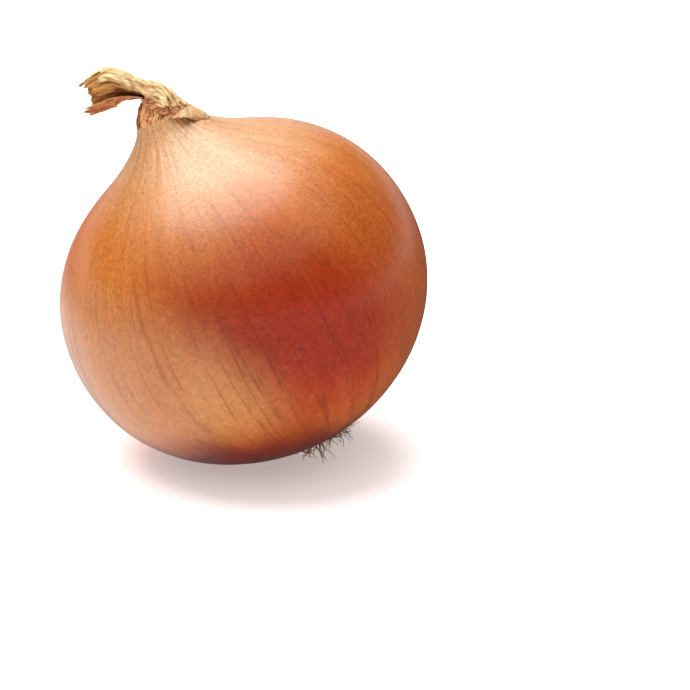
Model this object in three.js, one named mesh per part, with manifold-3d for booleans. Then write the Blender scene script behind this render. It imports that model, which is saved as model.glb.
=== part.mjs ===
// A dry yellow onion: the bulb in its papery skin, the withered leaves that hang over from its neck,
// a torn flap of outer skin beside the neck, and the tuft of dead roots. The bulb leans to -X on a
// small flat spot, whose middle is the origin. Every shape is drawn upright, with the bulb's axis
// along +Z and its equator at height zero, and the whole group is then leaned over.

import * as THREE from 'three';
import { mergeVertices } from 'three/addons/utils/BufferGeometryUtils.js';
import Module from 'manifold-3d';

const wasm = await Module();
wasm.setup();

// Driving dimensions, in millimetres and degrees.
const BULB_RADIUS = 40; // at the equator
const ROOT_DEPTH = 35.4; // equator to root pole
const NECK_HEIGHT = 43.6; // equator to the ring where the skin ends
const NECK_RADIUS = 5.4;
const NECK_OFFSET = 0.7; // how far the neck sits off the bulb's axis
const INFLECTION = new THREE.Vector2( 19.2, 31.7 ); // where the shoulder turns into the neck
const SWELL = 0.008; // the bulb's uneven roundness, as a share of its radius
const LEAN = 25; // from upright
const REST_RADIUS = 8; // of the flat spot
const GAP = 0.3; // between neighbouring solids

const TAIL_DEPTH_SHARE = 0.62; // the tail's thickness from front to back, as a share of its width
const TAIL_PLEATS = 7;
const PLEAT_DEPTH = 0.07; // as a share of the tail's radius

const FLAP_FOOT_RADIUS = 9.8;
const FLAP_PEAK = new THREE.Vector2( 7.0, 42.6 );
const FLAP_THICKNESS = 1.1;
const FLAP_ANGLE = 90; // how far the flap reaches round the neck
const FLAP_DIRECTION = - 22; // its middle, from +X towards -Y

const ROOT_PLATE_RADIUS = 6.5;
const ROOT_PLATE_THICKNESS = 1.8;
const ROOT_COUNT = 26;
const ROOT_RADIUS = 0.55;
const ROOT_LENGTH = 2.6;
const GOLDEN_ANGLE = Math.PI * ( 3 - Math.sqrt( 5 ) );

const LATHE_SEGMENTS = 64;
const lean = THREE.MathUtils.degToRad( LEAN );

// The bulb rests where its lower half, an ellipsoid, meets the ground. supportHeight is the equator's
// height if it touched at one point, and the flat spot takes a little off that.
const supportHeight = Math.hypot( BULB_RADIUS * Math.sin( lean ), ROOT_DEPTH * Math.cos( lean ) );
const flatShare = Math.sqrt( 1 - ( REST_RADIUS / BULB_RADIUS ) ** 2 );
const flattening = BULB_RADIUS ** 2 - ROOT_DEPTH ** 2;
const contactOffset = flattening * Math.sin( lean ) * Math.cos( lean ) / supportHeight;
const centre = new THREE.Vector3( contactOffset * flatShare, 0, supportHeight * flatShare );

const onion = new THREE.Group();
onion.position.copy( centre );
onion.rotation.y = - lean;
onion.updateMatrixWorld();

// Conversions between three.js geometry and manifold-3d solids.

function toSolid( geometry ) {

	geometry.deleteAttribute( 'normal' );
	geometry.deleteAttribute( 'uv' );
	const merged = mergeVertices( geometry, 1e-5 );
	return new wasm.Manifold( new wasm.Mesh( {
		numProp: 3,
		vertProperties: new Float32Array( merged.attributes.position.array ),
		triVerts: new Uint32Array( merged.index.array )
	} ) );

}

function toGeometry( solid ) {

	const mesh = solid.getMesh();
	const geometry = new THREE.BufferGeometry();
	geometry.setAttribute( 'position', new THREE.BufferAttribute( mesh.vertProperties, mesh.numProp ) );
	geometry.setIndex( new THREE.BufferAttribute( mesh.triVerts, 1 ) );
	geometry.computeVertexNormals();
	return geometry;

}

// The ground up to the given height, as a block in the leaning group's own frame.
function ground( height ) {

	const size = 4 * BULB_RADIUS;
	const block = new THREE.BoxGeometry( size, size, size );
	block.translate( 0, 0, height - size / 2 );
	block.applyMatrix4( onion.matrixWorld.clone().invert() );
	return toSolid( block );

}

// The bulb's outline from the root pole to the neck, moved outwards by offset.
function bulbOutline( offset ) {

	const rootPole = - ROOT_DEPTH - offset;
	const below = new THREE.EllipseCurve( 0, 0, BULB_RADIUS + offset, ROOT_DEPTH + offset, - Math.PI / 2, 0 );
	const shoulder = new THREE.CubicBezierCurve(
		new THREE.Vector2( BULB_RADIUS, 0 ),
		new THREE.Vector2( BULB_RADIUS, 17.5 ),
		new THREE.Vector2( 29.5, 26.9 ),
		INFLECTION
	);
	const flare = new THREE.CubicBezierCurve(
		INFLECTION,
		new THREE.Vector2( 14.5, 33.9 ),
		new THREE.Vector2( NECK_RADIUS, 39.5 ),
		new THREE.Vector2( NECK_RADIUS, NECK_HEIGHT )
	);
	const above = [ ...shoulder.getPoints( 12 ), ...flare.getPoints( 8 ).slice( 1 ) ].slice( 1 );
	return [
		new THREE.Vector2( 0, rootPole ),
		...below.getPoints( 14 ).slice( 1 ),
		...above.map( ( { x, y } ) => new THREE.Vector2( x + offset, y + offset * y / NECK_HEIGHT ) ),
		new THREE.Vector2( 0, NECK_HEIGHT + offset )
	];

}

// Sets the neck off the axis and gives the bulb its uneven roundness.
function unevenBulb( geometry ) {

	const position = geometry.attributes.position;
	for ( let i = 0; i < position.count; i ++ ) {

		const x = position.getX( i );
		const y = position.getY( i );
		const z = position.getZ( i );
		const angle = Math.atan2( y, x );
		const roundness = 1 - SWELL * ( Math.cos( 2 * angle ) + 0.6 * Math.cos( 3 * angle ) );
		const shift = NECK_OFFSET * THREE.MathUtils.smoothstep( z, BULB_RADIUS / 4, NECK_HEIGHT );
		position.setXYZ( i, x * roundness + shift, y * roundness, z );

	}

	return geometry;

}

function lathe( outline ) {

	const geometry = new THREE.LatheGeometry( outline, LATHE_SEGMENTS );
	return geometry.rotateX( Math.PI / 2 );

}

function bulbSolid( offset ) {

	return toSolid( unevenBulb( lathe( bulbOutline( offset ) ) ) );

}

function bulb() {

	return toGeometry( bulbSolid( 0 ).subtract( ground( 0 ) ) );

}

// The withered leaves leave the neck upwards, fold over to -X and flare into a ragged brush.
function dryLeafTail() {

	const path = new THREE.CatmullRomCurve3( [
		new THREE.Vector3( NECK_OFFSET, 0, NECK_HEIGHT + GAP ),
		new THREE.Vector3( 1.0, 0, 46.6 ),
		new THREE.Vector3( 0.8, 0, 49.2 ),
		new THREE.Vector3( - 0.5, 0, 51.4 ),
		new THREE.Vector3( - 3.1, 0, 53.2 ),
		new THREE.Vector3( - 7.2, 0, 54.8 ),
		new THREE.Vector3( - 11.6, 0, 56.0 )
	] );
	// Half the tail's width, from the neck ring to the ragged end.
	const halfWidth = new THREE.SplineCurve( [
		new THREE.Vector2( 0, 5.2 ),
		new THREE.Vector2( 0.17, 4.4 ),
		new THREE.Vector2( 0.33, 3.1 ),
		new THREE.Vector2( 0.5, 2.3 ),
		new THREE.Vector2( 0.67, 3.1 ),
		new THREE.Vector2( 0.83, 4.4 ),
		new THREE.Vector2( 1, 5.1 )
	] );
	const front = new THREE.Vector3( 0, - 1, 0 );
	const geometry = new THREE.CylinderGeometry( 1, 1, 1, 28, 26 );
	const position = geometry.attributes.position;
	for ( let i = 0; i < position.count; i ++ ) {

		const along = position.getY( i ) + 0.5;
		const reach = Math.hypot( position.getX( i ), position.getZ( i ) );
		const angle = Math.atan2( position.getZ( i ), position.getX( i ) );
		const tangent = path.getTangent( along );
		const across = new THREE.Vector3().crossVectors( tangent, front );
		const pleat = 1 + PLEAT_DEPTH * Math.cos( TAIL_PLEATS * angle + 3 * along );
		const flatness = THREE.MathUtils.lerp( 1, TAIL_DEPTH_SHARE, Math.sqrt( along ) );
		const width = reach * pleat * halfWidth.getPoint( along ).y;
		const point = path.getPoint( along )
			.addScaledVector( across, width * Math.cos( angle ) )
			.addScaledVector( front, width * flatness * Math.sin( angle ) );
		position.setXYZ( i, point.x, point.y, point.z );

	}

	return toGeometry( toSolid( geometry ).subtract( bulbSolid( GAP ) ) );

}

// A torn piece of the outermost skin that stands off the shoulder and leans against the neck at +X.
function tornSkinFlap() {

	const foot = new THREE.Vector2( FLAP_FOOT_RADIUS, FLAP_PEAK.y - 7 );
	const outline = [
		foot,
		FLAP_PEAK,
		new THREE.Vector2( FLAP_PEAK.x - FLAP_THICKNESS, FLAP_PEAK.y - 0.2 ),
		new THREE.Vector2( foot.x - 2.4 * FLAP_THICKNESS, foot.y + 0.4 ),
		foot
	];
	const skirt = toSolid( lathe( outline ).translate( NECK_OFFSET, 0, 0 ) );
	const reach = 2 * FLAP_FOOT_RADIUS;
	const halfAngle = THREE.MathUtils.degToRad( FLAP_ANGLE / 2 );
	const sector = new THREE.Shape( [
		new THREE.Vector2( 0, 0 ),
		new THREE.Vector2( reach * Math.cos( halfAngle ), - reach * Math.sin( halfAngle ) ),
		new THREE.Vector2( reach * 1.5, 0 ),
		new THREE.Vector2( reach * Math.cos( halfAngle ), reach * Math.sin( halfAngle ) )
	] );
	const wedge = new THREE.ExtrudeGeometry( sector, { depth: 2 * NECK_HEIGHT, bevelEnabled: false } );
	wedge.rotateZ( THREE.MathUtils.degToRad( FLAP_DIRECTION ) );
	return toGeometry( skirt.intersect( toSolid( wedge ) ).subtract( bulbSolid( GAP ) ) );

}

// A corky plate with dead roots pointing out of it all round, kept clear of the ground.
function rootTuft() {

	const top = - ROOT_DEPTH + 2;
	const plateOutline = [
		new THREE.Vector2( 0, - ROOT_DEPTH - ROOT_PLATE_THICKNESS ),
		new THREE.Vector2( ROOT_PLATE_RADIUS - 1.2, - ROOT_DEPTH - ROOT_PLATE_THICKNESS + 0.2 ),
		new THREE.Vector2( ROOT_PLATE_RADIUS, - ROOT_DEPTH + 0.2 ),
		new THREE.Vector2( 0, top )
	];
	let tuft = toSolid( lathe( plateOutline ) );
	for ( let i = 0; i < ROOT_COUNT; i ++ ) {

		const spread = Math.sqrt( ( i + 0.5 ) / ROOT_COUNT );
		const root = new THREE.CylinderGeometry( ROOT_RADIUS, ROOT_RADIUS * 0.5, ROOT_LENGTH, 6 );
		root.translate( 0, - ROOT_LENGTH / 2 - ROOT_PLATE_THICKNESS + 1, 0 );
		root.rotateX( Math.PI / 2 );
		root.rotateY( - 0.9 * spread );
		root.translate( ( ROOT_PLATE_RADIUS - 1.4 ) * spread, 0, - ROOT_DEPTH );
		root.rotateZ( i * GOLDEN_ANGLE );
		tuft = tuft.add( toSolid( root ) );

	}

	return toGeometry( tuft.subtract( bulbSolid( GAP ) ).subtract( ground( GAP ) ) );

}

const pieces = [
	{ name: 'bulb', geometry: bulb(), color: 0xc47a43, roughness: 0.4 },
	{ name: 'dry_leaf_tail', geometry: dryLeafTail(), color: 0xcf9f62, roughness: 0.85 },
	{ name: 'torn_skin_flap', geometry: tornSkinFlap(), color: 0xd9b583, roughness: 0.8 },
	{ name: 'root_tuft', geometry: rootTuft(), color: 0x9b7a4c, roughness: 0.95 }
];

for ( const piece of pieces ) {

	const material = new THREE.MeshStandardMaterial( {
		color: piece.color,
		roughness: piece.roughness,
		metalness: 0
	} );
	const mesh = new THREE.Mesh( piece.geometry, material );
	mesh.name = piece.name;
	onion.add( mesh );

}

const group = new THREE.Group();
group.add( onion );

export default group;
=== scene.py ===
"""A whole dry yellow onion, leaning on its small flat spot, on a pale floor in soft studio light.

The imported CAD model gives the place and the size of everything. Each CAD node is replaced by finer
pieces: the bulb in its papery skin, the withered leaves of the neck, a torn tongue of outer skin, and
the root plate with its dead roots. Lengths are in metres. Shapes are drawn upright in the bulb's own
frame, where the axis is Z and the equator is at height zero, and are then leaned over into place.
"""

import logging
import math
from collections.abc import Callable, Sequence
from dataclasses import dataclass, field
from enum import Enum

import bpy
import numpy as np
from mathutils import Matrix, Vector, geometry, noise


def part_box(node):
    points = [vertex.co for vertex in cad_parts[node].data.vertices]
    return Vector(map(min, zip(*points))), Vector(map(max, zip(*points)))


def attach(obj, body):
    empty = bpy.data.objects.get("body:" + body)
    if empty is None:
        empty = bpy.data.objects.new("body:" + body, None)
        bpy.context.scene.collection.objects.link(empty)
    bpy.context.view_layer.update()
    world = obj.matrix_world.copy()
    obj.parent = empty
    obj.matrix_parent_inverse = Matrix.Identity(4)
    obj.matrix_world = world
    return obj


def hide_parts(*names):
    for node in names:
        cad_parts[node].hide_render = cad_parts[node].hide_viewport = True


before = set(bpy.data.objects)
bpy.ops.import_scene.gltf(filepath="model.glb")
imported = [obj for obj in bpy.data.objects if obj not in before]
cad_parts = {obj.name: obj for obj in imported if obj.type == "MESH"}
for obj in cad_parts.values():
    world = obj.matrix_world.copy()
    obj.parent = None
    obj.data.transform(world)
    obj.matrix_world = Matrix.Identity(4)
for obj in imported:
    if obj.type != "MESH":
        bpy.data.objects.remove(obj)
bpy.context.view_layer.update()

log = logging.getLogger("onion")

MM = 0.001
FULL_TURN = 2 * math.pi
SMOOTH_UP_TO = math.radians(50)
SAME_PLACE = 0.005 * MM
BODY = "root"

Points = np.ndarray
Socket = bpy.types.NodeSocket
Color = tuple[float, float, float]


class Slot(Enum):
    """The record's material slots."""

    BULB_SKIN = "bulb_skin"
    DRY_LEAF = "dry_leaf"
    LOOSE_SKIN = "loose_skin"
    DRY_ROOT = "dry_root"


# ---------------------------------------------------------------------------------------------
# Small helpers for numbers, meshes and node trees
# ---------------------------------------------------------------------------------------------


def rgb(code: str) -> Color:
    """Turns a hex colour as seen on a screen into the linear values that a shader takes.

    Args:
        code: Six hex digits, such as "c06a32".

    Returns:
        Linear red, green and blue.
    """
    shares = [int(code[i : i + 2], 16) / 255 for i in (0, 2, 4)]
    red, green, blue = [s / 12.92 if s <= 0.04045 else ((s + 0.055) / 1.055) ** 2.4 for s in shares]
    return red, green, blue


def smooth(value: np.ndarray | float, low: float, high: float) -> np.ndarray:
    """Rises smoothly from 0 at low to 1 at high.

    Args:
        value: Where to look.
        low: The value at which the result leaves 0.
        high: The value at which the result reaches 1.

    Returns:
        The risen share for each value.
    """
    share = np.clip((np.asarray(value, float) - low) / (high - low), 0, 1)
    return share * share * (3 - 2 * share)


def along(stops: Sequence[tuple[float, float]], share: np.ndarray | float) -> np.ndarray:
    """Reads a value that changes along a piece.

    Args:
        stops: Pairs of position and value, in order of position.
        share: The positions to read.

    Returns:
        The value at each position, straight between stops.
    """
    places, values = zip(*stops)
    return np.interp(share, places, values)


def between(ends: tuple[float, float], share: np.ndarray | float) -> np.ndarray:
    """Goes straight from one value to another.

    Args:
        ends: The values at 0 and at 1.
        share: How far along.

    Returns:
        The value at each share.
    """
    return ends[0] + (ends[1] - ends[0]) * share


def lumps(points: Points, size: float, seed: int, octaves: int = 2) -> np.ndarray:
    """Reads smooth random lumps at each point.

    Args:
        points: Places, one row each.
        size: The width of a lump, in the points' unit.
        seed: Which lumps.
        octaves: How many finer layers are added.

    Returns:
        Values from about -1 to 1.
    """
    shift = Vector((17.3 * seed, -9.1 * seed, 4.7 * seed))
    return np.array([noise.fractal(Vector(p) / size + shift, 1.0, 2.0, octaves) for p in points])


def smooth_curve(points: Sequence[Vector], share: float) -> Vector:
    """Finds a point on the Catmull-Rom curve through some points.

    Args:
        points: The points that the curve passes through.
        share: From 0 at the first point to 1 at the last; a little beyond carries on straight.

    Returns:
        The point on the curve.
    """
    last = len(points) - 1
    index = min(max(int(share * last), 0), last - 1)
    t = share * last - index
    before = points[index - 1] if index else 2 * points[0] - points[1]
    after = points[index + 2] if index + 2 <= last else 2 * points[last] - points[last - 1]
    start, end = points[index], points[index + 1]
    if t > 1:
        return end + (end - start) * (t - 1)
    return 0.5 * (
        2 * start
        + (end - before) * t
        + (2 * before - 5 * start + 4 * end - after) * t**2
        + (3 * start - before - 3 * end + after) * t**3
    )


def deselect_all() -> None:
    """Leaves nothing selected and no object in edit mode."""
    if bpy.context.object and bpy.context.object.mode != "OBJECT":
        bpy.ops.object.mode_set(mode="OBJECT")
    bpy.ops.object.select_all(action="DESELECT")


def pick(piece: bpy.types.Object) -> None:
    """Makes one object the only selected one, and active.

    Args:
        piece: The object.
    """
    deselect_all()
    piece.select_set(True)
    bpy.context.view_layer.objects.active = piece


def new_grid(name: str, across: int, lengthwise: int) -> bpy.types.Object:
    """Adds a flat grid from -1 to 1 each way, to be laid into a leaf's shape.

    Args:
        name: The new object's name.
        across: How many rows it has along X.
        lengthwise: How many it has along Y.

    Returns:
        The grid.
    """
    deselect_all()
    bpy.ops.mesh.primitive_grid_add(
        x_subdivisions=across, y_subdivisions=lengthwise, size=2, location=(0, 0, 0)
    )
    piece = bpy.context.object
    piece.name = name
    return piece


def edit(piece: bpy.types.Object, steps: Callable[[], None]) -> None:
    """Runs some steps in edit mode with the whole mesh selected.

    Args:
        piece: The object to edit.
        steps: What to do to it.
    """
    pick(piece)
    bpy.ops.object.mode_set(mode="EDIT")
    bpy.ops.mesh.select_all(action="SELECT")
    steps()
    bpy.ops.object.mode_set(mode="OBJECT")


def get_points(piece: bpy.types.Object) -> Points:
    """Reads a mesh's vertices.

    Args:
        piece: The object.

    Returns:
        Their places, one row each.
    """
    flat = np.zeros(len(piece.data.vertices) * 3)
    piece.data.vertices.foreach_get("co", flat)
    return flat.reshape(-1, 3)


def set_points(piece: bpy.types.Object, points: Points) -> None:
    """Moves a mesh's vertices to new places, one row each."""
    piece.data.vertices.foreach_set("co", points.ravel())
    piece.data.update()


def mark(piece: bpy.types.Object, ages: np.ndarray, pairs: np.ndarray) -> None:
    """Writes how brown each place of a leaf is, with its painted shade, and its UV map.

    Args:
        piece: The laid leaf.
        ages: From 0, young, to about 1, old, for each vertex.
        pairs: Millimetres across and along the leaf, for each vertex.
    """
    stored = piece.data.attributes.new("age", "FLOAT", "POINT")
    stored.data.foreach_set("value", ages)
    corners = np.zeros(len(piece.data.loops), int)
    piece.data.loops.foreach_get("vertex_index", corners)
    piece.data.uv_layers[0].data.foreach_set("uv", pairs[corners].ravel())


def apply_modifier(piece: bpy.types.Object, kind: str, **settings: object) -> None:
    """Adds a modifier, sets it and applies it.

    Args:
        piece: The object to change.
        kind: The modifier's type, such as "SUBSURF".
        settings: Its properties.
    """
    pick(piece)
    modifier = piece.modifiers.new(kind.lower(), kind)
    for key, value in settings.items():
        setattr(modifier, key, value)
    bpy.ops.object.modifier_apply(modifier=modifier.name)


def subdivide(piece: bpy.types.Object, levels: int) -> None:
    """Rounds a mesh by subdivision surface and keeps the finer mesh."""
    apply_modifier(piece, "SUBSURF", levels=levels, render_levels=levels)


def freeze(piece: bpy.types.Object, matrix: Matrix) -> None:
    """Moves a piece by a matrix and puts its place into its mesh.

    Args:
        piece: The object to move.
        matrix: Where its own frame goes.
    """
    pick(piece)
    piece.matrix_world = matrix
    bpy.ops.object.transform_apply(location=True, rotation=True, scale=True)


class Graph:
    """A node tree, built with one short call for each node."""

    def __init__(
        self, owner: bpy.types.Material | bpy.types.World, shader: str = "Principled BSDF"
    ) -> None:
        """Switches a new material's or world's nodes on.

        Args:
            owner: What the tree belongs to.
            shader: The name of the node that the tree feeds.
        """
        owner.use_nodes = True
        self.owner = owner
        self.tree = owner.node_tree
        self.shader = self.tree.nodes[shader]
        self.coordinates = self.node("ShaderNodeTexCoord").outputs

    def node(
        self, kind: str, inputs: dict[str, object] | None = None, **settings: object
    ) -> bpy.types.Node:
        """Adds a node.

        Args:
            kind: The node's type.
            inputs: What to feed to its named inputs.
            settings: Its properties.

        Returns:
            The node.
        """
        made = self.tree.nodes.new(kind)
        for key, value in settings.items():
            setattr(made, key, value)
        for name, value in (inputs or {}).items():
            self.feed(made.inputs[name], value)
        return made

    def feed(self, socket: Socket, value: object) -> None:
        """Links a socket or sets a plain value.

        Args:
            socket: The input to fill.
            value: An output socket to link, or a number, colour or vector.
        """
        if isinstance(value, bpy.types.NodeSocket):
            self.tree.links.new(value, socket)
        elif socket.type == "RGBA":
            socket.default_value = (*value, 1)
        else:
            socket.default_value = value

    def dress(self, settings: dict[str, object]) -> None:
        """Fills the shader's inputs by their names."""
        for name, value in settings.items():
            self.feed(self.shader.inputs[name], value)

    def math(self, operation: str, *values: object) -> Socket:
        """Adds a Math node.

        Args:
            operation: Its operation, such as "ADD".
            values: The one, two or three numbers that it takes.

        Returns:
            Its result.
        """
        made = self.node("ShaderNodeMath", operation=operation)
        for socket, value in zip(made.inputs, values):
            self.feed(socket, value)
        return made.outputs[0]

    def times(self, *factors: object) -> Socket:
        """Multiplies numbers together.

        Args:
            factors: Two or more numbers.

        Returns:
            Their product.
        """
        product = factors[0]
        for factor in factors[1:]:
            product = self.math("MULTIPLY", product, factor)
        return product

    def vector(self, operation: str, *values: object, output: str = "Vector") -> Socket:
        """Adds a Vector Math node.

        Args:
            operation: Its operation, such as "ADD".
            values: The one or two vectors that it takes.
            output: Which of its outputs is read.

        Returns:
            Its result.
        """
        made = self.node("ShaderNodeVectorMath", operation=operation)
        for socket, value in zip(made.inputs, values):
            self.feed(socket, value)
        return made.outputs[output]

    def dot(self, vector: Socket, toward: Sequence[float]) -> Socket:
        """Gives how far a vector reaches in a direction."""
        return self.vector("DOT_PRODUCT", vector, tuple(toward), output="Value")

    def noise(self, vector: Socket, scale: float, detail: float = 2, roughness: float = 0.5) -> Socket:
        """Adds a Noise Texture.

        Args:
            vector: Where it is read.
            scale: How many lumps there are in one unit.
            detail: How many finer layers it has.
            roughness: How strong those are.

        Returns:
            The noise, around a half.
        """
        inputs = {"Vector": vector, "Scale": scale, "Detail": detail, "Roughness": roughness}
        return self.node("ShaderNodeTexNoise", inputs).outputs["Fac"]

    def rise(self, value: object, low: float, high: float, start: float = 0, end: float = 1) -> Socket:
        """Adds a smooth Map Range node.

        Args:
            value: The number to map.
            low: Where the result leaves its start.
            high: Where the result reaches its end.
            start: The result up to low.
            end: The result from high on.

        Returns:
            The mapped number.
        """
        made = self.node("ShaderNodeMapRange", interpolation_type="SMOOTHSTEP")
        for socket, number in zip(made.inputs, (value, low, high, start, end)):
            self.feed(socket, number)
        return made.outputs[0]

    def mix(self, factor: object, first: object, second: object, blend: str = "MIX") -> Socket:
        """Adds a colour Mix node.

        Args:
            factor: How much of the second colour comes in.
            first: The colour underneath.
            second: The colour on top.
            blend: How the second is laid on, such as "MULTIPLY".

        Returns:
            The mixed colour.
        """
        made = self.node("ShaderNodeMix", {"Factor": factor}, data_type="RGBA", blend_type=blend)
        colors = [socket for socket in made.inputs if socket.type == "RGBA"]
        self.feed(colors[0], first)
        self.feed(colors[1], second)
        return [socket for socket in made.outputs if socket.type == "RGBA"][0]

    def bump(self, *layers: tuple[Socket, float, float]) -> Socket:
        """Adds a Bump node for each layer, one over another.

        Args:
            layers: For each layer its height, its distance in millimetres and its strength.

        Returns:
            The normal over all of them.
        """
        normal = None
        for height, distance, strength in layers:
            inputs = {"Height": height, "Distance": distance * MM, "Strength": strength}
            if normal:
                inputs["Normal"] = normal
            normal = self.node("ShaderNodeBump", inputs).outputs[0]
        return normal

    def placed(self, location: Vector, rotation: tuple[float, float, float], scale: float) -> Socket:
        """Reads Object coordinates in another frame.

        Args:
            location: The frame's origin.
            rotation: Its turn, in radians.
            scale: Its unit, in metres.

        Returns:
            The coordinates in it.
        """
        inputs = {
            "Vector": self.coordinates["Object"],
            "Location": tuple(location),
            "Rotation": rotation,
            "Scale": (scale, scale, scale),
        }
        return self.node("ShaderNodeMapping", inputs, vector_type="TEXTURE").outputs[0]


# ---------------------------------------------------------------------------------------------
# The bulb's form, which every other piece is placed by
# ---------------------------------------------------------------------------------------------


@dataclass(frozen=True)
class BulbForm:
    """The bulb's outline and its place, worked out from the CAD bulb's box.

    All but the angle are shares of the radius at the equator. A pair is a distance from the axis and a
    height over the equator.

    Attributes:
        radius: The radius at the equator, in metres.
        root_depth: How far the root end lies under the equator.
        neck_height: How high the neck's rim lies over it.
        neck_radius: The rim's radius.
        neck_offset: How far the rim's middle lies off the axis.
        inflection: Where the outline turns from the round shoulder to the hollow neck.
        shoulder_handles: What bends the outline from the equator to there.
        flare_handles: What bends it from there to the rim.
        swell: How uneven its roundness is.
        lean: How far the axis leans to the left.
        rest_radius: The radius of the flat spot that it rests on.
    """

    radius: float
    root_depth: float = 0.885
    neck_height: float = 1.09
    neck_radius: float = 0.135
    neck_offset: float = 0.0175
    inflection: tuple[float, float] = (0.48, 0.7925)
    shoulder_handles: tuple[tuple[float, float], ...] = ((1, 0.4375), (0.7375, 0.6725))
    flare_handles: tuple[tuple[float, float], ...] = ((0.3625, 0.8475), (0.135, 0.9875))
    swell: float = 0.008
    lean: float = math.radians(25)
    rest_radius: float = 0.2

    @classmethod
    def from_frame(cls) -> "BulbForm":
        """Finds the radius from the CAD bulb's width across the lean."""
        low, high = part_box("bulb")
        return cls(radius=(high.y - low.y) / 2 / (1 + cls.swell))

    def centre(self) -> Vector:
        """Finds the equator's middle, with the flat spot's middle at the origin.

        Returns:
            Its place.
        """
        across, down = math.sin(self.lean), self.root_depth * math.cos(self.lean)
        support = math.hypot(across, down)
        flat = math.sqrt(1 - self.rest_radius**2)
        offset = (1 - self.root_depth**2) * across * math.cos(self.lean) / support
        return Vector((offset, 0, support)) * flat * self.radius

    def placing(self) -> Matrix:
        """Gives the matrix that takes an upright shape to where the bulb leans."""
        return Matrix.Translation(self.centre()) @ Matrix.Rotation(-self.lean, 4, "Y")

    def outline(self) -> list[Vector]:
        """Draws the outline from the root pole, round the equator, to the neck's rim.

        Returns:
            Points in the XZ plane.
        """
        below = [
            (math.cos(angle), self.root_depth * math.sin(angle))
            for angle in np.linspace(-math.pi / 2, 0, 15)
        ]
        rim = (self.neck_radius, self.neck_height)
        shoulder = ((1, 0), *self.shoulder_handles, self.inflection)
        flare = (self.inflection, *self.flare_handles, rim)
        points = [Vector((x, 0, z)) for x, z in below]
        for bend, count in ((shoulder, 13), (flare, 11)):
            ends = [Vector((x, 0, z)) for x, z in bend]
            points += geometry.interpolate_bezier(*ends, count)[1:]
        return [point * self.radius for point in points]

    def unevenly(self, points: Points) -> Points:
        """Sets the neck off the axis and gives the bulb its uneven roundness.

        Args:
            points: Places on an evenly turned bulb.

        Returns:
            Their places on the grown one.
        """
        angle = np.arctan2(points[:, 1], points[:, 0])
        roundness = 1 - self.swell * (np.cos(2 * angle) + 0.6 * np.cos(3 * angle))
        shift = self.neck_offset * smooth(points[:, 2] / self.radius, 0.25, self.neck_height)
        moved = points * np.stack([roundness, roundness, np.ones_like(roundness)], axis=1)
        moved[:, 0] += shift * self.radius
        return moved


def turned(name: str, outline: Sequence[Vector], steps: int) -> bpy.types.Object:
    """Turns an outline round Z into a closed skin.

    One vertex is pushed along the outline by extrusion, and the line is spun full circle.

    Args:
        name: The new object's name.
        outline: Points in the XZ plane, from the bottom up.
        steps: How many columns the skin has.

    Returns:
        The turned object.
    """
    deselect_all()
    bpy.ops.mesh.primitive_plane_add(size=MM, location=outline[0])
    piece = bpy.context.object
    piece.name = name

    def shape() -> None:
        """Draws the line from one point and spins it."""
        bpy.ops.mesh.merge(type="CENTER")
        for before, after in zip(outline, outline[1:]):
            bpy.ops.mesh.extrude_region_move(TRANSFORM_OT_translate={"value": after - before})
        bpy.ops.mesh.select_all(action="SELECT")
        bpy.ops.mesh.spin(steps=steps, angle=FULL_TURN, center=(0, 0, 0), axis=(0, 0, 1))
        bpy.ops.mesh.select_all(action="SELECT")
        bpy.ops.mesh.remove_doubles(threshold=SAME_PLACE)
        bpy.ops.mesh.normals_make_consistent(inside=False)

    edit(piece, shape)
    freeze(piece, piece.matrix_world.copy())
    return piece


def finish_piece(
    piece: bpy.types.Object, node: str, material: bpy.types.Material
) -> None:
    """Dresses a finished piece and ties it to the CAD frame.

    Args:
        piece: The piece.
        node: The CAD node that it stands for.
        material: Its material.
    """
    pick(piece)
    bpy.ops.object.shade_smooth_by_angle(angle=SMOOTH_UP_TO)
    piece.data.materials.clear()
    piece.data.materials.append(material)
    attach(piece, BODY)
    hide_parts(node)
    log.info("%s: %d faces for %s", piece.name, len(piece.data.polygons), node)


# ---------------------------------------------------------------------------------------------
# Finishes
# ---------------------------------------------------------------------------------------------


@dataclass(frozen=True)
class Patch:
    """A soft-edged patch of other colour on the skin, as a cone from the bulb's middle; some patches are
    painted shade or a painted highlight.

    Attributes:
        direction: Where it lies, seen from the middle of the bulb as it rests.
        inner: The angle off that direction, in degrees, at which it starts to fade.
        outer: The angle at which it ends.
        color: Its colour.
        strength: How much of that shows at the middle of the patch.
    """

    direction: tuple[float, float, float]
    inner: float
    outer: float
    color: Color
    strength: float


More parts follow.
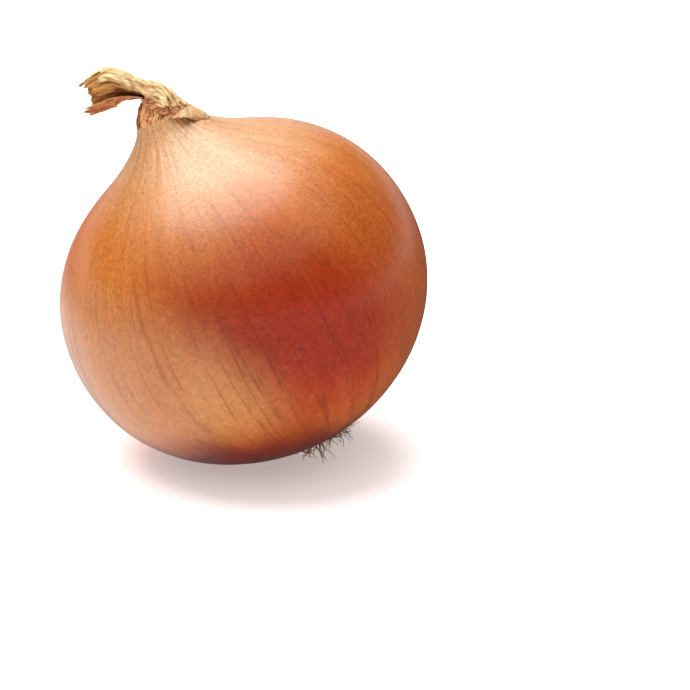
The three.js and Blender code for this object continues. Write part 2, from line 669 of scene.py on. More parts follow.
class SkinPattern:
    """The fields that the bulb's skin is painted with, in radii of the bulb from its middle."""

    def __init__(self, g: Graph, form: BulbForm) -> None:
        """Lays out the fields.

        Args:
            g: The material's graph.
            form: The bulb's form, for its place, lean and radius.
        """
        self.g = g
        self.level = g.placed(form.centre(), (0, 0, 0), form.radius)
        self.facing = g.vector("NORMALIZE", self.level)
        upright = g.placed(form.centre(), (0, -form.lean, 0), form.radius)
        self.height = g.node("ShaderNodeSeparateXYZ", {"Vector": upright}).outputs["Z"]
        self.around = g.vector("NORMALIZE", g.vector("MULTIPLY", upright, (1, 1, 0)))
        self.streaks = self.grown(4, 1.1, 4, 0.55)
        self.stripes = self.grown(17, 1.4, 3, 0.55)
        self.fibres = self.grown(55, 3.5, 3, 0.6)
        self.blotches = g.noise(self.level, 2.6, 4, 0.6)
        self.mottle = g.noise(self.level, 36, 4, 0.72)
        self.grain = g.noise(self.level, 70, 3, 0.6)

    def grown(self, turns: float, climb: float, detail: float = 2, roughness: float = 0.5) -> Socket:
        """Reads noise that is drawn out from root to neck.

        Args:
            turns: How fine it is round the bulb.
            climb: How fine it is along the bulb.
            detail: How many finer layers it has.
            roughness: How strong those are.

        Returns:
            The noise, around a half.
        """
        spread = self.g.vector("MULTIPLY", self.around, (turns, turns, 0))
        lift = self.g.node("ShaderNodeCombineXYZ", {"Z": self.g.math("MULTIPLY", self.height, climb)})
        return self.g.noise(self.g.vector("ADD", spread, lift.outputs[0]), 1, detail, roughness)

    def lines(self, field_value: Socket, width: float) -> Socket:
        """Draws thin lines where a smooth field crosses its middle value.

        Args:
            field_value: The field, around a half.
            width: How far from the middle a line reaches.

        Returns:
            One on a line and nought off it.
        """
        off = self.g.math("ABSOLUTE", self.g.math("SUBTRACT", field_value, 0.5))
        return self.g.rise(off, 0.0, width, 1, 0)

    def veins(self) -> Socket:
        """Draws the long broken veins, fainter towards the neck.

        Returns:
            How much of a vein there is.
        """
        broken = self.g.rise(self.grown(8, 4), 0.38, 0.6)
        fading = self.g.rise(self.height, -0.1, 0.5, 0.9, 0.6)
        return self.g.times(self.lines(self.grown(9, 0.3, 1.5), 0.032), broken, fading)

    def neck_veins(self) -> Socket:
        """Draws the fine veins that run together at the neck.

        Returns:
            How much of a vein there is.
        """
        near = self.g.rise(self.g.math("MULTIPLY_ADD", self.streaks, 0.2, self.height), 0.86, 1.08)
        return self.g.times(self.lines(self.grown(9, 0.8), 0.05), near)

    def dots(self) -> Socket:
        """Scatters dark specks in clouds, fewer at the lower left.

        Returns:
            How much of a speck there is.
        """
        specks = self.g.rise(self.g.noise(self.level, 84, 2, 0.7), 0.46, 0.68)
        clouds = self.g.rise(self.grown(2.2, 2), 0.36, 0.6, 0.5, 1)
        lower_left = self.g.dot(self.level, (-0.55, 0, -0.85))
        return self.g.times(specks, clouds, self.g.rise(lower_left, -0.1, 0.6, 1, 0.3))

    def wobble(self) -> Socket:
        """Makes the edges of the patches uneven.

        Returns:
            An angle in radians, around nought.
        """
        drawn_out = self.g.math("MULTIPLY_ADD", self.streaks, 0.3, -0.15)
        return self.g.math("ADD", drawn_out, self.g.math("MULTIPLY_ADD", self.blotches, 0.26, -0.13))

    def tone(self) -> Socket:
        """Darkens and lightens the skin in stripes, fibres and mottling.

        Returns:
            What each colour is multiplied by, as a grey.
        """
        tone = self.g.times(
            self.g.math("MULTIPLY_ADD", self.stripes, 0.3, 0.85),
            self.g.math("MULTIPLY_ADD", self.fibres, 0.3, 0.85),
            self.g.math("MULTIPLY_ADD", self.mottle, 1.0, 0.5),
        )
        channels = {"Red": tone, "Green": tone, "Blue": tone}
        return self.g.node("ShaderNodeCombineColor", channels).outputs[0]


@dataclass(frozen=True)
class BulbSkin:
    """The tight, satin outer skin: orange to red brown, veined from neck to root, straw at the neck.

    Attributes:
        form: The bulb's form.
        base: The colour between the patches.
        straw: The colour at the neck.
        shaded_straw: The same darkened at the left of the neck, as painted shade.
        vein_shade: What a vein multiplies the colour by.
        dot_shade: What a speck multiplies the colour by.
        neck_vein: The colour of the fine veins at the neck.
        root: The colour round the root plate.
        root_band: The heights between which that comes in.
        neck_band: The heights between which the straw comes in.
        neck_tilt: How the straw reaches further down on one side.
        vein_strength: How strong the veins are.
        dot_strength: How strong the specks are.
        neck_vein_strength: How strong the fine veins are.
        roughness: The roughness in the stripes' hollows and on their ridges.
        specular: The strength of the gloss.
        scatter: How much light goes through the skin.
        scatter_reach: How far red, green and blue light go in it, in millimetres.
        ridges: The distance in millimetres and the strength of stripes, fibres, veins and grain.
        patches_and_painted_shade: The patches of other colour, in the order that they are laid on; some of
            them are painted shade, and one is partly a painted highlight.
    """

    form: BulbForm
    base: Color = rgb("b45a1e")
    straw: Color = rgb("d2a278")
    shaded_straw: Color = rgb("be8a5a")
    vein_shade: Color = (0.5, 0.3, 0.2)
    dot_shade: Color = (0.42, 0.25, 0.16)
    neck_vein: Color = rgb("8a6236")
    root: Color = rgb("6e2a0a")
    root_band: tuple[float, float] = (-0.7, -0.88)
    neck_band: tuple[float, float] = (0.56, 0.88)
    neck_tilt: tuple[float, float, float] = (0.15, 0.03, 0)
    vein_strength: float = 0.6
    dot_strength: float = 0.52
    neck_vein_strength: float = 0.5
    roughness: tuple[float, float] = (0.27, 0.35)
    specular: float = 0.42
    scatter: float = 0.04
    scatter_reach: tuple[float, float, float] = (1.2, 0.5, 0.2)
    ridges: tuple[tuple[float, float], ...] = ((0.14, 0.35), (0.05, 0.4), (0.04, 0.5), (0.05, 0.3))
    patches_and_painted_shade: tuple[Patch, ...] = (
        Patch((0.6, -0.25, 0.75), 16, 52, rgb("c47636"), 0.9),
        Patch((0.78, -0.42, 0.36), 8, 46, rgb("aa4c10"), 0.85),
        # partly pale skin, partly a painted highlight: paler at the upper left front, below the neck
        Patch((-0.5, -0.55, 0.66), 14, 44, rgb("b87840"), 0.8),
        Patch((-0.8, -0.58, 0.2), 6, 46, rgb("b0621c"), 0.9),
        Patch((0.05, -0.97, 0.14), 6, 46, rgb("942c02"), 1.0),
        Patch((-0.28, -0.88, 0.36), 2, 30, rgb("a04610"), 0.6),
        Patch((-0.17, -0.97, 0.14), 2, 23, rgb("8c2600"), 0.65),
        # painted shade: a darker patch on the upper front that dims the softbox's gloss there
        Patch((-0.24, -0.76, 0.6), 3, 22, rgb("b46c22"), 0.45),
        Patch((-0.52, -0.8, -0.34), 12, 47, rgb("ac6832"), 0.95),
        Patch((-0.82, -0.5, -0.33), 6, 46, rgb("ae764c"), 0.75),
        # partly red skin, partly painted shade and painted orange bounce at the lower right front
        Patch((0.5, -0.87, 0.04), 6, 42, rgb("981e00"), 0.9),
        Patch((-0.07, -0.95, -0.31), 2, 28, rgb("bc8048"), 0.65),
        # painted shade: dark red brown along the bottom, where the shade at the floor contact falls
        Patch((0.1, -0.35, -0.93), 25, 48, rgb("741600"), 0.95),
        Patch((0.95, 0.1, -0.1), 15, 55, rgb("a44a10"), 0.8),
        Patch((0.1, 0.95, 0.3), 17, 55, rgb("b86c2c"), 0.8),
        Patch((-0.6, 0.7, -0.35), 14, 50, rgb("b8763e"), 0.85),
        Patch((0.6, 0.7, -0.4), 12, 44, rgb("98380a"), 0.8),
        Patch((-0.7, 0.65, 0.35), 12, 44, rgb("9c3c08"), 0.7),
    )

    def build(self) -> bpy.types.Material:
        """Makes the material.

        Returns:
            The material, which reads the bulb's place and lean from its form.
        """
        g = Graph(bpy.data.materials.new("bulb_skin"))
        pattern = SkinPattern(g, self.form)
        veins = pattern.veins()
        fields = (pattern.stripes, pattern.fibres, veins, pattern.grain)
        g.dress({
            "Base Color": self.painted(g, pattern, veins),
            "Roughness": g.rise(pattern.stripes, 0.25, 0.75, *self.roughness),
            "Specular IOR Level": self.specular,
            "Subsurface Weight": self.scatter,
            "Subsurface Radius": tuple(reach * MM for reach in self.scatter_reach),
            "Subsurface Scale": 1,
            "Normal": g.bump(*[(height, *ridge) for height, ridge in zip(fields, self.ridges)]),
        })
        return g.owner

    def painted(self, g: Graph, pattern: SkinPattern, veins: Socket) -> Socket:
        """Lays the colours over each other, from the patches to the neck's fine veins.

        Args:
            g: The material's graph.
            pattern: The fields to paint with.
            veins: Where the long veins are.

        Returns:
            The skin's colour.
        """
        color = self.base
        wobble = pattern.wobble()
        for patch in self.patches_and_painted_shade:
            toward = Vector(patch.direction).normalized()
            off = g.math("ADD", g.math("ARCCOSINE", g.dot(pattern.facing, toward)), wobble)
            ends = math.radians(patch.inner), math.radians(patch.outer)
            color = g.mix(g.rise(off, *ends, patch.strength, 0), color, patch.color)
        color = g.mix(g.rise(pattern.height, *self.root_band), color, self.root)

        tilted = g.math("ADD", pattern.height, g.dot(pattern.facing, self.neck_tilt))
        neck = g.rise(g.math("ADD", tilted, g.math("MULTIPLY", wobble, 0.5)), *self.neck_band)
        # painted shade: the straw is darker at the left of the neck (shaded_straw) and lighter towards the
        # right
        lit = g.rise(g.dot(pattern.level, (1, 0, 0)), -0.6, -0.2)
        color = g.mix(neck, color, g.mix(lit, self.shaded_straw, self.straw))
        color = g.mix(1.0, color, pattern.tone(), "MULTIPLY")

        on_body = g.times(veins, g.math("SUBTRACT", 1, neck), self.vein_strength)
        color = g.mix(on_body, color, self.vein_shade, "MULTIPLY")
        color = g.mix(g.times(pattern.dots(), self.dot_strength), color, self.dot_shade, "MULTIPLY")
        return g.mix(g.times(pattern.neck_veins(), self.neck_vein_strength), color, self.neck_vein)


@dataclass(frozen=True)
class DryLeaf:
    """Withered leaf: straw to red brown, with long fibres that follow the leaf's own length.

    The mesh's UV map holds millimetres across and along the leaf, and its "age" attribute says how
    brown each place has become, and where painted shade darkens its creases and hollows.

    Attributes:
        name: The material's name.
        young: The colour of a young place.
        old: The colour of an old place.
        fibre: The colour of the fibres.
        roughness: How dull it is.
        scatter: How much light goes through it.
        scatter_reach: How far red, green and blue light go in it, in millimetres.
        fibre_stretch: How long the fibres are drawn out, as width over length.
        stain_grain: How many stains there are to the metre.
        stain: How much a stain adds to the age, or takes from it.
    """

    name: str
    young: Color
    old: Color
    fibre: Color
    roughness: float = 0.55
    scatter: float = 0.1
    scatter_reach: tuple[float, float, float] = (1.0, 0.6, 0.3)
    fibre_stretch: float = 0.12
    stain_grain: float = 420
    stain: float = 0.22

    def build(self) -> bpy.types.Material:
        """Makes the material.

        Returns:
            The material.
        """
        g = Graph(bpy.data.materials.new(self.name))
        age = g.node("ShaderNodeAttribute", attribute_name="age").outputs["Fac"]
        stretched = g.vector("MULTIPLY", g.coordinates["UV"], (1, self.fibre_stretch, 1))
        lines = g.noise(stretched, 3.4, 4, 0.65)
        fine = g.noise(stretched, 9, 2, 0.6)
        stains = g.noise(g.coordinates["Object"], self.stain_grain, 3, 0.6)
        browned = g.math("ADD", age, g.rise(stains, 0.3, 0.7, -self.stain, self.stain))
        color = g.mix(g.rise(browned, 0.0, 1.0), self.young, self.old)
        color = g.mix(g.rise(lines, 0.46, 0.64, 0, 0.7), color, self.fibre)
        g.dress({
            "Base Color": g.mix(g.rise(fine, 0.5, 0.75, 0, 0.35), color, self.fibre),
            "Roughness": self.roughness,
            "Subsurface Weight": self.scatter,
            "Subsurface Radius": tuple(reach * MM for reach in self.scatter_reach),
            "Subsurface Scale": 1,
            "Normal": g.bump((lines, 0.16, 0.7), (fine, 0.06, 0.6)),
        })
        return g.owner


@dataclass(frozen=True)
class RootFibre:
    """Dead roots and their corky plate: dull straw to dark brown.

    Attributes:
        name: The material's name.
        pale: Its lighter colour.
        dark: Its darker colour.
        grain: How many grains there are to the metre.
        roughness: How dull it is.
    """

    name: str
    pale: Color = rgb("b08f5e")
    dark: Color = rgb("4c3219")
    grain: float = 900
    roughness: float = 0.9

    def build(self) -> bpy.types.Material:
        """Makes the material.

        Returns:
            The material.
        """
        g = Graph(bpy.data.materials.new(self.name))
        grains = g.noise(g.coordinates["Object"], self.grain, 3, 0.65)
        clumps = g.noise(g.coordinates["Object"], self.grain / 5, 2)
        mixed = g.math("MULTIPLY_ADD", clumps, 0.9, g.math("MULTIPLY", grains, 0.6))
        g.dress({
            "Base Color": g.mix(g.rise(mixed, 0.45, 1.05), self.dark, self.pale),
            "Roughness": self.roughness,
            "Normal": g.bump((grains, 0.15, 0.8)),
        })
        return g.owner


# ---------------------------------------------------------------------------------------------
# The bulb
# ---------------------------------------------------------------------------------------------


@dataclass
class Bulb:
    """The bulb in its tight skin, gathered into pleats at the neck and flat where it rests.

    Attributes:
        form: Its form.
        columns: How many columns it is turned with.
        levels: How often it is subdivided.
        pleats: How many pleats there are round the neck.
        pleat_depth: Their depth.
        pleat_band: The heights, in radii, between which they come in.
        waviness: The height of the low waves along the meridians.
        seed: Which waves.
    """

    form: BulbForm
    columns: int = 72
    levels: int = 2
    pleats: int = 33
    pleat_depth: float = 0.07 * MM
    pleat_band: tuple[float, float] = (0.78, 1.05)
    waviness: float = 0.16 * MM
    seed: int = 3

    def build(self) -> bpy.types.Object:
        """Turns, roughens, leans and rests the bulb.

        Returns:
            The dressed bulb.
        """
        outline = self.form.outline()
        outline.append(Vector((0, 0, outline[-1].z)))
        piece = turned("bulb_in_skin", outline, self.columns)
        subdivide(piece, self.levels)
        set_points(piece, self.grown(get_points(piece)))
        freeze(piece, self.form.placing())
        edit(piece, self.rest)
        finish_piece(piece, "bulb", BulbSkin(self.form).build())
        return piece

    def grown(self, points: Points) -> Points:
        """Adds pleats at the neck and low waves along the meridians.

        Args:
            points: Places on the turned bulb.

        Returns:
            Their places on the grown one.
        """
        angle = np.arctan2(points[:, 1], points[:, 0])
        height = points[:, 2] / self.form.radius
        phase = 0.8 * np.sin(3 * angle + 1) + 2.2 * height
        pleat = self.pleat_depth * smooth(height, *self.pleat_band) * np.cos(self.pleats * angle + phase)
        meridians = np.stack([4 * np.cos(angle), 4 * np.sin(angle), 0.6 * height], axis=1)
        body = 1 - smooth(np.abs(height), 0.7, 1.0)
        wave = self.waviness * lumps(meridians, 1.0, self.seed) * body
        out = (pleat + wave) / np.maximum(np.hypot(points[:, 0], points[:, 1]), MM)
        moved = points.copy()
        moved[:, :2] += points[:, :2] * out[:, None]
        return self.form.unevenly(moved)

    @staticmethod
    def rest() -> None:
        """Cuts the flat spot at the ground and closes it."""
        ground = {"plane_co": (0, 0, 0), "plane_no": (0, 0, 1), "threshold": 0.001 * MM}
        bpy.ops.mesh.bisect(**ground, use_fill=True, clear_inner=True)


# ---------------------------------------------------------------------------------------------
# The withered leaves
# ---------------------------------------------------------------------------------------------


@dataclass(frozen=True)
class TailForm:
    """The bundle of leaves as a bent, flattened tube; its surface is read by share and angle.

    Angle 0 is the outer side of the bend, a quarter turn is the front, and a half turn is the inner
    side. Numbers are millimetres in the bulb's upright frame.

    Attributes:
        path: The middle line, as X and Z.
        half_width: The half width at shares of it, in the plane of the bend.
        half_depth: The half depth at shares of it, from front to back.
        length: Its whole length.
    """

    path: tuple[tuple[float, float], ...] = (
        (0.85, 41.6), (0.95, 43.2), (1.1, 44.8), (1.2, 46.3), (0.9, 47.9), (-0.2, 49.4),
        (-2.1, 50.7), (-4.0, 52.0), (-6.1, 52.8), (-8.9, 52.8), (-12.6, 52.7),
    )
    half_width: tuple[tuple[float, float], ...] = (
        (0, 5.6), (0.1, 5.3), (0.2, 4.3), (0.3, 3.5), (0.4, 2.5), (0.5, 1.7),
        (0.6, 2.2), (0.7, 3.1), (0.8, 4.0), (0.9, 3.6), (1, 2.9),
    )
    half_depth: tuple[tuple[float, float], ...] = (
        (0, 5.6), (0.1, 5.3), (0.2, 4.5), (0.3, 3.7), (0.4, 2.8),
        (0.5, 2.0), (0.6, 1.9), (0.8, 2.3), (1, 2.4),
    )
    length: float = 24

    def at(self, share: float, angle: float, lift: float) -> Vector:
        """Finds a place on or off the tube's surface.

        Args:
            share: From 0 at the neck to 1 at the end.
            angle: Round the tube, in radians.
            lift: Outwards from the surface, in millimetres.

        Returns:
            The place, in metres.
        """
        line = [Vector((x, 0, z)) for x, z in self.path]
        step = 0.01
        run = (smooth_curve(line, share + step) - smooth_curve(line, share - step)).normalized()
        front = Vector((0, -1, 0))
        outer = run.cross(front)
        width = float(along(self.half_width, share)) + lift
        depth = float(along(self.half_depth, share)) + lift
        place = smooth_curve(line, share)
        place += outer * (width * math.cos(angle)) + front * (depth * math.sin(angle))
        return place * MM

    def half_round(self, share: np.ndarray, turn: np.ndarray) -> np.ndarray:
        """Finds how far it is over the surface to the middle of a strip.

        Args:
            share: Places along the tube.
            turn: How far round it the strip goes there, in radians.

        Returns:
            Half of the strip's width, in millimetres.
        """
        middling = (along(self.half_width, share) + along(self.half_depth, share)) / 2
        return np.abs(turn) / 2 * middling


@dataclass
class Leaf:
    """One withered leaf, as a strip of the tail's tube.

    Attributes:
        name: The piece's name.
        start: Where it starts along the tail, as a share.
        end: Where it ends.
        angles: Its two edges in degrees round the tube, at the start.
        end_angles: The same at the end.
        lift: How far out it lies, at the start and at the end, in millimetres.
        finish: Its finish.
        edge_curl: How far its first and second edges stand off, in millimetres.
        age: How brown it is at the start and at the end.
        edge_age: How much browner its edges are; below nought, how much paler, as a painted highlight.
        pleats: How many lengthwise folds it has.
        pleat_depth: Their height in millimetres, growing towards the end.
        crumple: The height of its creases in millimetres, on the neck and on the tail.
        crease_size: The width and the length of a crease in millimetres.
        slant: How much further along its second edge starts, and ends, as shares.
        torn_start: How deep its first end is torn, in millimetres.
        torn_end: How deep its last end is torn, in millimetres.
        thickness: In millimetres.
        seed: Which creases and tears.
        across: How many rows of its grid go across.
        lengthwise: How many go along it.
    """

    name: str
    start: float
    end: float
    angles: tuple[float, float]
    end_angles: tuple[float, float]
    lift: tuple[float, float]
    finish: DryLeaf
    edge_curl: tuple[float, float] = (0, 0)
    age: tuple[float, float] = (0.3, 0.6)
    edge_age: float = 0.2
    pleats: float = 5
    pleat_depth: float = 0.18
    crumple: tuple[float, float] = (0.5, 0.15)
    crease_size: tuple[float, float] = (1.0, 4.0)
    slant: tuple[float, float] = (0, 0)
    torn_start: float = 0.0
    torn_end: float = 1.2
    thickness: float = 0.16
    seed: int = 1
    across: int = 40
    lengthwise: int = 56

    def build(self, tail: TailForm, placing: Matrix) -> bpy.types.Object:
        """Lays a grid along the tail, creases and tears it, and gives it thickness.

        Args:
            tail: The tube that the leaf is a strip of.
            placing: Where the upright frame goes.

        Returns:
            The dressed leaf.
        """
        piece = new_grid(self.name, self.across, self.lengthwise)
        flat = get_points(piece)
        side, run = flat[:, 0], (flat[:, 1] + 1) / 2
        over = (side + 1) / 2
        length = (self.end - self.start) * tail.length
        run = self.torn(side, run, length)
        share = between((self.start + self.slant[0] * over, self.end + self.slant[1] * over), run)
        first = np.radians(between((self.angles[0], self.end_angles[0]), run))
        last = np.radians(between((self.angles[1], self.end_angles[1]), run))
        width = tail.half_round(share, last - first)
        creases = self.creases(side * width, run * length)
        crumple = between(self.crumple, smooth(share, 0.3, 0.5))
        lift = self.curled(side, run) + crumple * (creases - 0.4)
        angles = between((first, last), over)
        places = np.array([tail.at(*place) for place in zip(share, angles, lift)])
        set_points(piece, places)
        # painted shade: the leaf is darker deep in its creases
        mark(piece, self.ages(side, run, crumple / 0.5 * (0.35 - creases)),
             np.stack([side * width, run * length], axis=1))
        apply_modifier(piece, "SOLIDIFY", thickness=self.thickness * MM, offset=0)
        freeze(piece, placing)
        finish_piece(piece, "dry_leaf_tail", self.finish.build())
        return piece

    def torn(self, side: np.ndarray, run: np.ndarray, length: float) -> np.ndarray:
        """Tears the two ends.

        Args:
            side: From -1 to 1 across the leaf, for each vertex.
            run: From 0 to 1 along it.
            length: The leaf's length in millimetres.

        Returns:
            The run, drawn in at the ends.
        """
        tips = np.stack([side * 5, 0 * side, 0 * side], axis=1)
        ragged = 0.5 + 0.5 * lumps(tips, 1.1, self.seed, 3)
        ragged_start = 0.5 + 0.5 * lumps(tips, 0.9, self.seed + 40, 3)
        low = self.torn_start / length * ragged_start
        return between((low, 1 - self.torn_end / length * ragged), run)

    def curled(self, side: np.ndarray, run: np.ndarray) -> np.ndarray:
        """Lifts the leaf off the tube, with its curled edges and its lengthwise folds.

        Args:
            side: From -1 to 1 across the leaf, for each vertex.
            run: From 0 to 1 along it.

        Returns:
            How far out each place is, in millimetres.
        """
        edges = self.edge_curl[0] * smooth(-side, 0.35, 1) + self.edge_curl[1] * smooth(side, 0.35, 1)
        folds = (0.4 + run) * np.cos(math.pi * self.pleats * side + self.seed + 2 * run)
        return between(self.lift, run) + edges + self.pleat_depth * folds

    def creases(self, across: np.ndarray, down: np.ndarray) -> np.ndarray:
        """Makes sharp creases, coarse ones with fine ones between them.

        Args:
            across: Millimetres across the leaf, for each vertex.
            down: Millimetres along it.

        Returns:
            One on a crease's crest and less off it.
        """
        places = ((across + down * 0.15) / self.crease_size[0], down / self.crease_size[1])
        places = np.stack([*places, 0 * across], axis=1)
        coarse = np.abs(lumps(places, 1.0, self.seed + 7))
        fine = np.abs(lumps(places, 0.45, self.seed + 9))
        return 1 - 2.2 * coarse - 0.9 * fine

    def ages(self, side: np.ndarray, run: np.ndarray, crease_shade: np.ndarray) -> np.ndarray:
        """Finds how brown each place is: most at the edges and at the torn end, with painted shade deep in
        the creases.

        Args:
            side: From -1 to 1 across the leaf, for each vertex.
            run: From 0 to 1 along it.
            crease_shade: How deep in a crease it is, painted as shade.

        Returns:
            From 0, young, to 1.2, old.
        """
        edges = self.edge_age * smooth(np.abs(side), 0.7, 1) + 0.25 * smooth(run, 0.88, 1)
        return np.clip(between(self.age, run) + edges + 0.65 * crease_shade, 0, 1.2)


@dataclass
class DryNeck:
    """All the withered leaves of the neck, on the tube that they are strips of."""

    form: BulbForm
    tail: TailForm = field(default_factory=TailForm)

    def leaves(self) -> list[Leaf]:
        """Lists the leaves, from the inside out.

        Returns:
            The leaves, not yet built.
        """
        red = DryLeaf("neck_skin", rgb("e6a86a"), rgb("964412"), rgb("763812"))
        side = DryLeaf("side_skin", rgb("b0562a"), rgb("6c260e"), rgb("4a1c0c"))
        straw = DryLeaf("straw_leaf", rgb("eecf94"), rgb("a05c1e"), rgb("74481a"))
        ochre = DryLeaf("ochre_leaf", rgb("c68c40"), rgb("70300c"), rgb("5a2e0e"))
        lip = DryLeaf("lip_leaf", rgb("d4905c"), rgb("8a3c12"), rgb("682e10"))
        return [
            Leaf("inner_core", 0.05, 0.6, (0, 360), (0, 360), (-0.7, -0.8), red, age=(0.6, 1.0), pleats=9,
                 pleat_depth=0.15, crumple=(0.3, 0.2), across=72),
            Leaf("neck_collar", 0, 0.44, (-40, 320), (-40, 320), (0.0, -0.1), red, age=(0.1, 0.55),
                 pleats=23, pleat_depth=0.1, crumple=(0.4, 0.3), crease_size=(0.7, 3.6), torn_start=0.9,
                 torn_end=2.0, across=130, lengthwise=64, seed=3),
            Leaf("side_fold", 0.03, 0.42, (152, 205), (146, 200), (0.2, 0.1), side, age=(0.3, 0.9),
                 pleats=2, pleat_depth=0.1, crumple=(0.3, 0.2), torn_start=0.8, seed=33, across=24),
            Leaf("back_wall", 0.42, 1.02, (170, 372), (178, 375), (-0.1, 0.1), ochre, age=(0.9, 0.1),
                 pleats=9, pleat_depth=0.16, torn_end=1.5, slant=(0, -0.06), seed=5, across=60),
            # painted highlight: the lower lip's edges are paler than its middle (edge_age below nought),
            # along its curled rim
            Leaf("lower_lip", 0.4, 1.02, (118, 216), (104, 214), (0.0, 0.5), lip,
                 edge_curl=(0.35, 0.0), age=(0.5, 0.4), edge_age=-0.2, pleats=3, torn_end=1.8, seed=8),
            Leaf("ochre_lip", 0.42, 1.0, (5, 104), (0, 94), (0.0, 0.05), ochre, edge_curl=(0, -0.3),
                 age=(0.4, 0.05), edge_age=0.4, pleats=4, torn_end=1.6, slant=(0, -0.07), seed=11),
            Leaf("torn_collar", 0.0, 0.46, (50, 128), (50, 130), (0.35, 0.05), red, age=(0.45, 0.6),
                 pleats=4, pleat_depth=0.12, crumple=(0.5, 0.25), crease_size=(1.1, 3.0), slant=(0.42, 0),
                 torn_start=1.4, across=64, seed=27),
            Leaf("straw_hood", -0.06, 0.8, (-60, 112), (-60, 52), (0.45, 0.25), straw,
                 edge_curl=(0.2, 0.1), age=(0.6, 0.0), edge_age=0.3, pleats=4, pleat_depth=0.12,
                 crumple=(0.66, 0.12), crease_size=(1.4, 6.2), slant=(0.38, 0.07), torn_start=1.6,
                 torn_end=1.2, seed=13, across=90, lengthwise=96),
            Leaf("straw_wisp", 0.68, 0.94, (-20, 20), (-4, 14), (0.2, 0.6), straw, age=(0.0, 0.0),
                 pleats=2, pleat_depth=0.1, crumple=(0.1, 0.1), torn_end=2.6, seed=17, across=16,
                 thickness=0.1),
            Leaf("back_cover", 0.1, 0.8, (200, 300), (205, 310), (0.3, 0.3), straw,
                 edge_curl=(0.3, 0.2), age=(0.5, 0.2), pleats=5, torn_start=1.6, torn_end=2.0, seed=19),
        ]

    def build(self) -> list[bpy.types.Object]:
        """Builds every leaf in its place."""
        return [leaf.build(self.tail, self.form.placing()) for leaf in self.leaves()]


# ---------------------------------------------------------------------------------------------
# The torn outer skin and the roots
# ---------------------------------------------------------------------------------------------


@dataclass
class TornSkin:
    """A tongue of the outer skin that has torn at the neck and stands off like a small tent.

    Lengths are millimetres in the bulb's upright frame.

    Attributes:
        name: The piece's name.
        form: The bulb's form.
        finish: Its finish.
        ribs: Directions in degrees round the neck, with the radius and the height of its lower edge
            there. The edge stands free at the first ribs and runs into the skin at the last ones.
        rim: The radius and the height at which it leaves the neck.
        ridge: The radius and the height that it is bent towards on its way down.
        pleats: How many pleats run down it.
        pleat_depth: Their height.
        crumple: The height of its lumps.
        torn: How deep its lower edge is torn.
        spread: How wide and how long it is when it is laid flat, about.
        thickness: How thick it is.
        seed: Which lumps and tears.
        across: How many rows of its grid go across.
        down: How many go down.
    """

    name: str
    form: BulbForm
    finish: DryLeaf
    ribs: tuple[tuple[float, float, float], ...] = (
        (-64, 5.6, 42.7), (-55, 7.0, 42.3), (-46, 8.1, 41.6), (-38, 8.0, 40.6), (-30, 7.9, 39.6),
        (-22, 8.0, 38.9), (-10, 8.6, 38.3), (2, 9.3, 37.7), (14, 9.0, 37.9), (26, 7.6, 39.2),
    )
    rim: tuple[float, float] = (4.8, 42.6)
    ridge: tuple[float, float] = (6.9, 42.9)
    pleats: float = 9
    pleat_depth: float = 0.16
    crumple: float = 0.3
    torn: float = 0.5
    spread: tuple[float, float] = (13, 9)
    thickness: float = 0.16
    seed: int = 23
    across: int = 72
    down: int = 28

    def build(self) -> bpy.types.Object:
        """Hangs a grid over the ribs, pleats and tears it, and gives it thickness.

        Returns:
            The dressed tongue.
        """
        piece = new_grid(self.name, self.across, self.down)
        flat = get_points(piece)
        side, run = (flat[:, 0] + 1) / 2, (1 - flat[:, 1]) / 2
        tips = np.stack([side * 9, 0 * side, 0 * side], axis=1)
        run = run * (1 - self.torn / 6 * (0.5 + 0.5 * lumps(tips, 0.6, self.seed, 3)))
        lift = self.lifted(side, run)
        set_points(piece, self.hung(side, run, lift) * MM)
        # painted shade: the tongue is darker in the hollows of its pleats and lumps and lighter on their
        # crests; it is also browner towards its torn lower edge
        mark(piece, 0.35 - 1.1 * lift + 0.25 * smooth(run, 0.8, 1),
             np.stack([side, run], axis=1) * self.spread)
        apply_modifier(piece, "SOLIDIFY", thickness=self.thickness * MM, offset=0)
        freeze(piece, self.form.placing())
        finish_piece(piece, "torn_skin_flap", self.finish.build())
        return piece

    def lifted(self, side: np.ndarray, run: np.ndarray) -> np.ndarray:
        """Pleats and crumples the tongue.

        Args:
            side: From 0 to 1 across it, for each vertex.
            run: From 0 at the rim to 1 at its lower edge.

        Returns:
            How far out each place is.
        """
        spots = np.stack([side * 7 + run, run * 2.2 - side, 0 * side], axis=1)
        wave = np.sin(math.pi * run) ** 0.5 * np.cos(FULL_TURN * self.pleats * side + run)
        return self.pleat_depth * wave + self.crumple * lumps(spots, 1.0, self.seed + 3, 3)

    def hung(self, side: np.ndarray, run: np.ndarray, lift: np.ndarray) -> Points:
        """Hangs the tongue from the rim, over the ridge, to its lower edge.

        Args:
            side: From 0 to 1 across it, for each vertex.
            run: From 0 at the rim to 1 at its lower edge.
            lift: How far out it is there.

        Returns:
            The places.
        """
        shares = np.linspace(0, 1, len(self.ribs))
        angle, *edge = (np.interp(side, shares, column) for column in zip(*self.ribs))
        radius, height = (
            (1 - run) ** 2 * rim + 2 * run * (1 - run) * ridge + run**2 * low
            for rim, ridge, low in zip(self.rim, self.ridge, edge)
        )
        radius += 0.8 * lift
        turn = np.radians(angle)
        off_axis = self.form.neck_offset * self.form.radius / MM
        return np.stack(
            [radius * np.cos(turn) + off_axis, radius * np.sin(turn), height + 0.5 * lift], axis=1
        )


